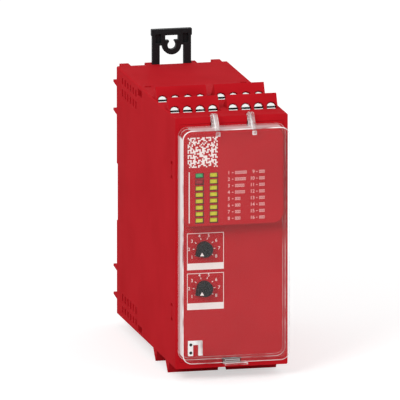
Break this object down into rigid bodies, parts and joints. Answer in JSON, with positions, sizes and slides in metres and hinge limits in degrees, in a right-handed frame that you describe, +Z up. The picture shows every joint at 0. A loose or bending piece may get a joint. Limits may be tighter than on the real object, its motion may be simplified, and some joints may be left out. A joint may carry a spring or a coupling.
{
  "type": "safety relay",
  "caption": "Red rail-mounted safety relay module with plug-in screw terminals above and below, indicator columns, rotary selectors and a clear hinged front cover.",
  "frame": {"origin": "centre of the rail seat on the rear face, on the module's middle plane and on the rail's centre line", "axes": "+Y out of the rear face towards the rail, +Z up, +X to the right for someone who faces the front cover"},
  "size_m": [0.045, 0.1212, 0.1188],
  "materials": {
    "housing_red": "fine satin texture",
    "plug_red": "fine satin texture",
    "zinc_screw": "bright zinc plating",
    "clamp_steel": "plated",
    "header_black": "satin",
    "tinned_pin": "tinned",
    "clear_cover": "clear polycarbonate, polished",
    "led_green": "lit diffuser",
    "led_red": "unlit diffuser",
    "led_yellow": "lit diffuser",
    "black_plastic": "satin",
    "switch_body": "satin",
    "spring_steel": "drawn wire",
    "circuit_board": "solder resist",
    "relay_case": "satin",
    "transformer_core": "varnished laminations",
    "capacitor_sleeve": "shrunk sleeve",
    "connector_body": "satin"
  },
  "bodies": {
    "module": {"housing": "housing_red", "front_panel": "housing_red", "header_top_rear_left": "header_black", "header_top_rear_right": "header_black", "header_top_front_left": "header_black", "header_top_front_right": "header_black", "header_bottom_rear_left": "header_black", "header_bottom_rear_right": "header_black", "header_bottom_front_left": "header_black", "header_bottom_front_right": "header_black", "header_pins_top": "tinned_pin", "header_pins_bottom": "tinned_pin", "power_indicator": "led_green", "error_indicator": "led_red", "input_indicators": "led_yellow", "start_switch": "switch_body", "function_switch": "switch_body", "latch_spring": "spring_steel", "display_board": "circuit_board", "logic_board": "circuit_board", "relay_board": "circuit_board", "terminal_board_top": "circuit_board", "terminal_board_bottom": "circuit_board", "safety_relay_a": "relay_case", "safety_relay_b": "relay_case", "power_transformer": "transformer_core", "capacitors": "capacitor_sleeve", "board_connectors": "connector_body"},
    "cover": {"clear_cover": "clear_cover"},
    "start_dial": {"start_knob": "black_plastic"},
    "function_dial": {"function_knob": "black_plastic"},
    "lug": {"fixing_lug": "black_plastic"},
    "latch": {"rail_latch": "black_plastic"},
    "terminal_top_rear_left": {"plug_top_rear_left": "plug_red", "screws_top_rear_left": "zinc_screw", "clamps_top_rear_left": "clamp_steel"},
    "terminal_top_rear_right": {"plug_top_rear_right": "plug_red", "screws_top_rear_right": "zinc_screw", "clamps_top_rear_right": "clamp_steel"},
    "terminal_top_front_left": {"plug_top_front_left": "plug_red", "screws_top_front_left": "zinc_screw", "clamps_top_front_left": "clamp_steel"},
    "terminal_top_front_right": {"plug_top_front_right": "plug_red", "screws_top_front_right": "zinc_screw", "clamps_top_front_right": "clamp_steel"},
    "terminal_bottom_rear_left": {"plug_bottom_rear_left": "plug_red", "screws_bottom_rear_left": "zinc_screw", "clamps_bottom_rear_left": "clamp_steel"},
    "terminal_bottom_rear_right": {"plug_bottom_rear_right": "plug_red", "screws_bottom_rear_right": "zinc_screw", "clamps_bottom_rear_right": "clamp_steel"},
    "terminal_bottom_front_left": {"plug_bottom_front_left": "plug_red", "screws_bottom_front_left": "zinc_screw", "clamps_bottom_front_left": "clamp_steel"},
    "terminal_bottom_front_right": {"plug_bottom_front_right": "plug_red", "screws_bottom_front_right": "zinc_screw", "clamps_bottom_front_right": "clamp_steel"}
  },
  "joints": [
    {"name": "cover_hinge", "type": "hinge", "parent": "module", "child": "cover", "pos_m": [0, -0.102, 0.049], "axis": [-1, 0, 0], "range_deg": [0, 105]},
    {"name": "start_turn", "type": "hinge", "parent": "module", "child": "start_dial", "pos_m": [-0.011, -0.106, -0.0024], "axis": [0, 1, 0], "range_deg": [0, 252]},
    {"name": "function_turn", "type": "hinge", "parent": "module", "child": "function_dial", "pos_m": [-0.011, -0.106, -0.0181], "axis": [0, 1, 0], "range_deg": [0, 252]},
    {"name": "lug_slide", "type": "slide", "parent": "module", "child": "lug", "axis": [0, 0, -1], "range_m": [0, 0.009]},
    {"name": "latch_slide", "type": "slide", "parent": "module", "child": "latch", "axis": [0, 0, -1], "range_m": [0, 0.004], "stiffness_N_per_m": 600, "springref_m": -0.002, "deforming": ["latch_spring"]},
    {"name": "pull_top_rear_left", "type": "slide", "parent": "module", "child": "terminal_top_rear_left", "axis": [0, 0, 1], "range_m": [0, 0.01]},
    {"name": "pull_top_rear_right", "type": "slide", "parent": "module", "child": "terminal_top_rear_right", "axis": [0, 0, 1], "range_m": [0, 0.01]},
    {"name": "pull_top_front_left", "type": "slide", "parent": "module", "child": "terminal_top_front_left", "axis": [0, 0, 1], "range_m": [0, 0.01]},
    {"name": "pull_top_front_right", "type": "slide", "parent": "module", "child": "terminal_top_front_right", "axis": [0, 0, 1], "range_m": [0, 0.01]},
    {"name": "pull_bottom_rear_left", "type": "slide", "parent": "module", "child": "terminal_bottom_rear_left", "axis": [0, 0, -1], "range_m": [0, 0.01]},
    {"name": "pull_bottom_rear_right", "type": "slide", "parent": "module", "child": "terminal_bottom_rear_right", "axis": [0, 0, -1], "range_m": [0, 0.01]},
    {"name": "pull_bottom_front_left", "type": "slide", "parent": "module", "child": "terminal_bottom_front_left", "axis": [0, 0, -1], "range_m": [0, 0.01]},
    {"name": "pull_bottom_front_right", "type": "slide", "parent": "module", "child": "terminal_bottom_front_right", "axis": [0, 0, -1], "range_m": [0, 0.01]}
  ]
}
